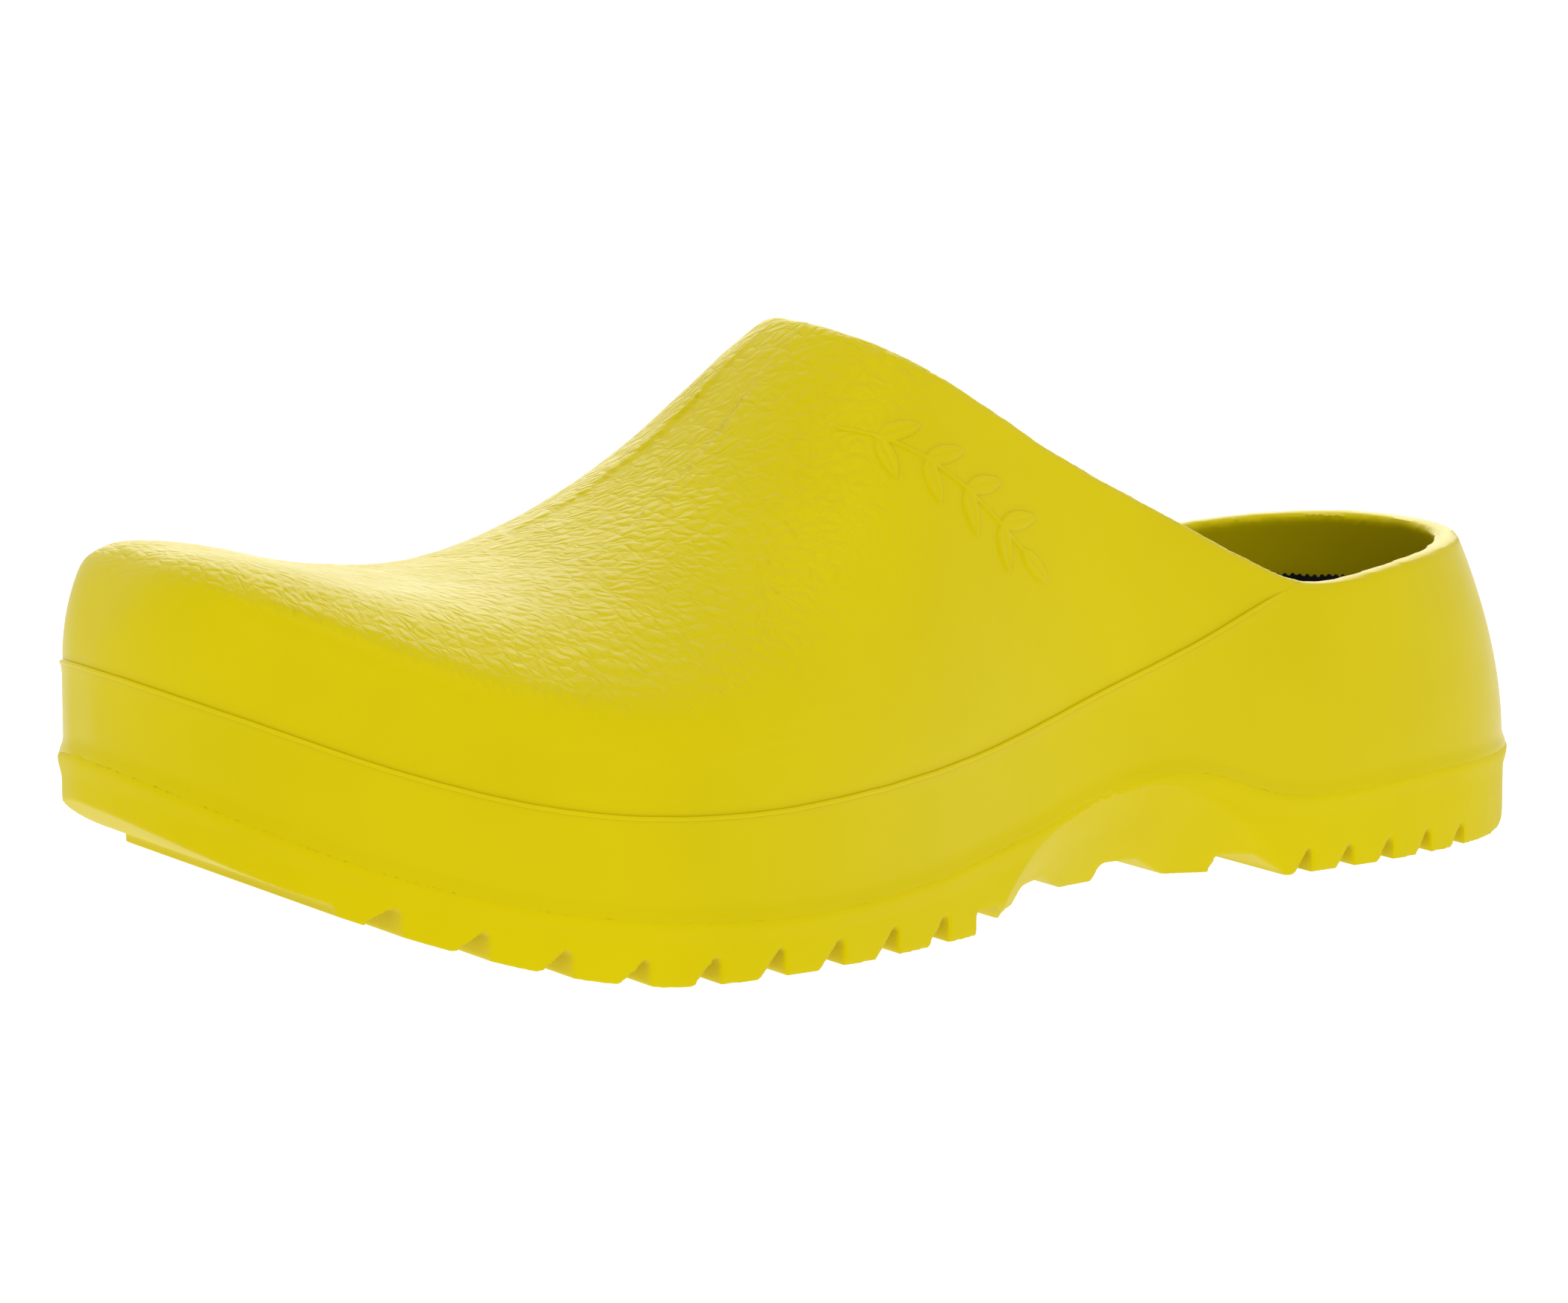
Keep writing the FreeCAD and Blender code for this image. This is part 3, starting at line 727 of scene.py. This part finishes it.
def cork(name):
    """Pressed cork: light and dark grains, and dark pits where a chip was torn out."""
    material = bpy.data.materials.new(name)
    material.use_nodes = True
    links = material.node_tree.links
    shader = material.node_tree.nodes["Principled BSDF"]
    shader.inputs["Roughness"].default_value = 0.85
    shader.inputs["Specular IOR Level"].default_value = 0.25
    places = wired(material, "ShaderNodeTexCoord").outputs["Object"]
    cells = wired(material, "ShaderNodeTexVoronoi", Vector=places, Scale=480.0)
    chips = wired(material, "ShaderNodeTexVoronoi", Vector=places, Scale=150.0)
    tone = wired(material, "ShaderNodeSeparateColor", Color=cells.outputs["Color"])
    body = mixed(material, tone.outputs["Red"], (0.46, 0.27, 0.12, 1), (0.26, 0.14, 0.06, 1))
    dark = ranged(material, chips.outputs["Distance"], 0.12, 0.30)
    links.new(mixed(material, dark, (0.09, 0.045, 0.02, 1), body), shader.inputs["Base Color"])
    bump = wired(material, "ShaderNodeBump", Height=cells.outputs["Distance"], Strength=0.7)
    bump.inputs["Distance"].default_value = 0.3 * MM
    links.new(bump.outputs["Normal"], shader.inputs["Normal"])
    return material


core = layer("footbed_core", "cork_core", grid=0.9 * MM, rounding=3)
weigh(core, "grains", grains)
push(core, "grains", -CORK_ROUGHNESS)
core.data.materials.append(cork("pressed_cork"))


# --- Footbed top jute ---------------------------------------------------------------------------
# A finer jute between the cork and the lining, which holds the lining flat.

top_jute = layer("footbed_top_jute", "fine_jute_layer", CLOTH_GRID, rounding=2)
top_jute.data.materials.append(woven(
    "fine_jute_weave", thread=1.0 * MM,
    colour=(0.50, 0.38, 0.22, 1), shade=(0.34, 0.25, 0.13, 1), gap_colour=(0.16, 0.11, 0.06, 1)))


# --- Footbed lining -----------------------------------------------------------------------------
# Black microfibre suede on top, shaped over the heel cup. It is cut with a pinked edge, whose
# small uneven teeth stand up along the wall.

NAP = 0.18 * MM
TOOTH = 1.4 * MM
TOOTH_HEIGHT = 0.8 * MM
EDGE_STEP = 0.35 * MM
EDGE_THICKNESS = 0.9 * MM
EDGE_ROOT = 1.2 * MM
EDGE_RISE = 1.7 * MM
EDGE_LEAN = 0.38
# Height that the soft edge reaches behind the heel, where it stands up most.
HEEL_EDGE = 40.2 * MM
# The heel's end of the edge is an arc about this place, of this radius.
HEEL_CENTRE = 0.095
HEEL_RADIUS = 0.027


def edge_place(point):
    """How far round the lining's edge a point is from the middle of the heel."""
    if point.y > HEEL_CENTRE:
        return math.atan2(point.x, point.y - HEEL_CENTRE) * HEEL_RADIUS
    return math.copysign(HEEL_RADIUS * math.pi / 2 + HEEL_CENTRE - point.y, point.x)


def top_edge():
    """Points along the upper outer edge of the lining's design node, in order round it."""
    mesh = bmesh.new()
    mesh.from_mesh(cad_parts["footbed_lining"].data)
    bmesh.ops.remove_doubles(mesh, verts=mesh.verts, dist=MERGE)
    points = set()
    for edge in mesh.edges:
        lifts = sorted(abs(f.normal.z) for f in edge.link_faces)
        upward = max(f.normal.z for f in edge.link_faces)
        if len(lifts) == 2 and lifts[0] < 0.35 and upward > 0.5:
            points.update(tuple(p.co) for p in edge.verts)
    mesh.free()
    return sorted((Vector(p) for p in points), key=edge_place)


def nap(place, normal):
    """The soft uneven surface of the pile."""
    broad = noise.noise(place / (3.5 * MM))
    fine = noise.noise(place / (1.2 * MM))
    return max(0.0, 0.5 + 0.5 * broad + 0.3 * fine)


def microfibre(name):
    """Black suede with a brushed, slightly uneven pile."""
    material = bpy.data.materials.new(name)
    material.use_nodes = True
    links = material.node_tree.links
    shader = material.node_tree.nodes["Principled BSDF"]
    shader.inputs["Roughness"].default_value = 0.95
    shader.inputs["Specular IOR Level"].default_value = 0.12
    shader.inputs["Sheen Weight"].default_value = 0.35
    shader.inputs["Sheen Roughness"].default_value = 0.45
    shader.inputs["Sheen Tint"].default_value = (0.35, 0.34, 0.36, 1)
    places = wired(material, "ShaderNodeTexCoord").outputs["Object"]
    brushed = wired(material, "ShaderNodeTexNoise", Vector=places, Scale=60.0, Detail=4.0)
    shade = ranged(material, brushed.outputs["Fac"], 0.35, 0.65)
    links.new(mixed(material, shade, (0.009, 0.008, 0.009, 1), (0.022, 0.020, 0.021, 1)),
              shader.inputs["Base Color"])
    pile = wired(material, "ShaderNodeTexNoise", Vector=places, Scale=2200.0, Detail=3.0)
    bump = wired(material, "ShaderNodeBump", Height=pile.outputs["Fac"], Strength=0.9)
    bump.inputs["Distance"].default_value = 0.25 * MM
    links.new(bump.outputs["Normal"], shader.inputs["Normal"])
    return material


def pinked_edge():
    """A thin upright band along the lining's edge, with small uneven teeth along its top."""
    corners = top_edge()
    places = [edge_place(p) for p in corners]
    count = int((places[-1] - places[0]) / EDGE_STEP)
    band = bmesh.new()
    rows = []
    for k in range(count + 1):
        place = places[0] + (places[-1] - places[0]) * k / count
        i = max(1, min(len(places) - 1, bisect.bisect(places, place)))
        share = (place - places[i - 1]) / max(places[i] - places[i - 1], 1e-9)
        seat = corners[i - 1].lerp(corners[i], share)
        past_end = max(0.0, seat.y - HEEL_CENTRE) + min(0.0, seat.y + HEEL_CENTRE)
        inward = -Vector((seat.x, past_end, 0)).normalized()
        rough = noise.noise(seat / (1.1 * MM))
        rise = EDGE_RISE + eased(seat.y, 0.085, 0.110) * max(0.0, HEEL_EDGE - EDGE_RISE - seat.z)
        rise += TOOTH_HEIGHT * (abs((place / TOOTH) % 1 * 2 - 1) + 0.5 * rough)
        outer = seat + inward * 0.1 * MM * (1 + 2 * noise.noise(seat / (4 * MM)))
        top = Vector((0, 0, rise)) + inward * rise * EDGE_LEAN
        root = Vector((0, 0, -EDGE_ROOT))
        ring = (outer + root, outer + top, outer + top + inward * EDGE_THICKNESS * 0.6,
                outer + root + inward * EDGE_THICKNESS)
        rows.append([band.verts.new(corner) for corner in ring])
    for near, far in zip(rows, rows[1:]):
        for a in range(4):
            band.faces.new((near[a], near[(a + 1) % 4], far[(a + 1) % 4], far[a]))
    band.faces.new(rows[0])
    band.faces.new(rows[-1])
    bmesh.ops.recalc_face_normals(band, faces=band.faces)
    edging = bpy.data.meshes.new("pinked_edge")
    band.to_mesh(edging)
    band.free()
    return edging


lining = layer("footbed_lining", "microfibre_lining", CLOTH_GRID, rounding=2)
weigh(lining, "nap", nap)
push(lining, "nap", -NAP)
edging = bpy.data.objects.new("pinked_edge", pinked_edge())
bpy.context.collection.objects.link(edging)
alone(lining)
edging.select_set(True)
bpy.ops.object.join()
lining.data.materials.append(microfibre("black_suede"))


# --- Studio -------------------------------------------------------------------------------------
# A white light tent with no hard shadows: the floor and the surround glow, with one large soft
# light behind the clog and a weaker one over it. The camera stands low and far off in front.

FLOOR_GLOW = 1.17
SURROUND_GLOW = 0.83
WHITE = (1, 1, 1, 1)

bpy.ops.mesh.primitive_plane_add(size=24)
floor = bpy.context.object
floor.name = "floor"
floor_paint = bpy.data.materials.new("floor_paint")
floor_paint.use_nodes = True
floor_shader = floor_paint.node_tree.nodes["Principled BSDF"]
floor_shader.inputs["Base Color"].default_value = (0.02, 0.02, 0.02, 1)
floor_shader.inputs["Specular IOR Level"].default_value = 0
floor_shader.inputs["Roughness"].default_value = 1
floor_shader.inputs["Emission Color"].default_value = WHITE
floor_shader.inputs["Emission Strength"].default_value = FLOOR_GLOW
floor.data.materials.append(floor_paint)
floor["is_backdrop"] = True

surround = bpy.data.worlds.new("surround")
surround.use_nodes = True
surround.node_tree.nodes["Background"].inputs["Color"].default_value = WHITE
surround.node_tree.nodes["Background"].inputs["Strength"].default_value = SURROUND_GLOW
bpy.context.scene.world = surround


def aimed(thing, azimuth, elevation, distance, target):
    """Puts a light or camera that far from the target, and points it there."""
    a = math.radians(azimuth)
    e = math.radians(elevation)
    back = Vector((math.sin(a) * math.cos(e), -math.cos(a) * math.cos(e), math.sin(e)))
    thing.location = target + back * distance
    thing.rotation_euler = back.to_track_quat("Z", "Y").to_euler()


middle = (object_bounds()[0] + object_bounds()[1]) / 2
for name, azimuth, elevation, distance, width, watts in (
    ("back_light", 236, 24, 1.7, 1.3, 9),
    ("high_light", 60, 55, 1.6, 1.0, 5),
):
    bpy.ops.object.light_add(type="AREA")
    lamp = bpy.context.object
    lamp.name = name
    lamp.data.shape = "SQUARE"
    lamp.data.size = width
    lamp.data.energy = watts
    aimed(lamp, azimuth, elevation, distance, middle)

bpy.ops.object.camera_add()
camera = bpy.context.object
camera.data.sensor_fit = "HORIZONTAL"
camera.data.sensor_width = 36
camera.data.lens = 137.0
aimed(camera, azimuth=56, elevation=9.824, distance=1.0, target=Vector((-0.0083, -0.0068, 0.0396)))
bpy.context.scene.camera = camera
bpy.context.scene.view_settings.view_transform = "Standard"
